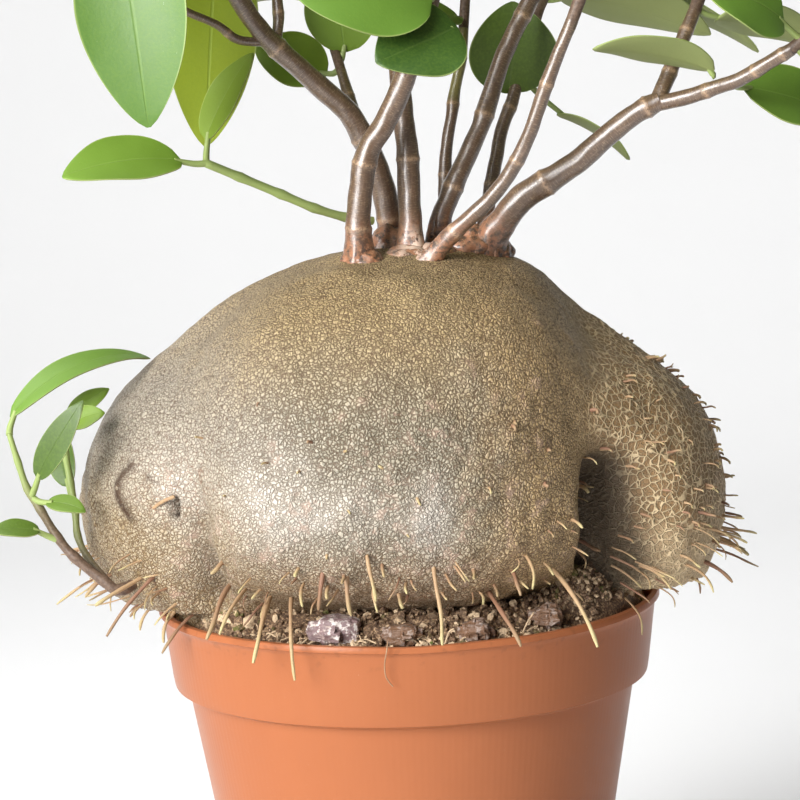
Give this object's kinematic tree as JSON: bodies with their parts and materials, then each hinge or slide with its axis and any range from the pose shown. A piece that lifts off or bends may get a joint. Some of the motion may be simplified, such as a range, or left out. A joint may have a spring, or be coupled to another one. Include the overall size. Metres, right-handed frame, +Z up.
{
  "type": "potted ant plant",
  "caption": "Ant plant with a swollen lobed tuber, short aerial roots, woody stems and fleshy opposite leaves, in a thin plastic nursery pot.",
  "frame": {"origin": "middle of the pot's flat base, on the surface it stands on", "axes": "+Z up, front of the picture at -Y, +X to the right in the picture"},
  "size_m": [0.3044, 0.1964, 0.4165],
  "materials": {
    "pot_plastic": "satin moulded terracotta-coloured plastic",
    "soil": "dark loose potting soil",
    "chip": "weathered bark and stone chips",
    "caudex_skin": "pebbled corky skin, olive brown",
    "bark": "smooth brown bark with fine rings",
    "foliage": "fleshy glossy green leaf",
    "basal_foliage": "young green leaf and shoot"
  },
  "bodies": {
    "root": {"pot": "pot_plastic", "potting_soil": "soil", "soil_chip_1": "chip", "soil_chip_2": "chip", "soil_chip_3": "chip", "soil_chip_4": "chip", "caudex": "caudex_skin", "woody_stem_1": "bark", "woody_stem_2": "bark", "woody_stem_3": "bark", "woody_stem_4": "bark", "woody_stem_5": "bark", "woody_stem_6": "bark", "woody_stem_7": "bark", "woody_stem_8": "bark", "leafy_shoot_1": "foliage", "leafy_shoot_2": "foliage", "leafy_shoot_2a": "foliage", "leafy_shoot_2b": "foliage", "leafy_shoot_2c": "foliage", "leafy_shoot_3": "foliage", "leafy_shoot_4": "foliage", "leafy_shoot_5": "foliage", "leafy_shoot_6a": "foliage", "leafy_shoot_6b": "foliage", "leafy_shoot_7": "foliage", "leafy_shoot_8": "foliage", "leafy_shoot_low": "foliage", "wood_leaf_1": "foliage", "wood_leaf_2": "foliage", "basal_shoot": "basal_foliage"}
  },
  "joints": []
}
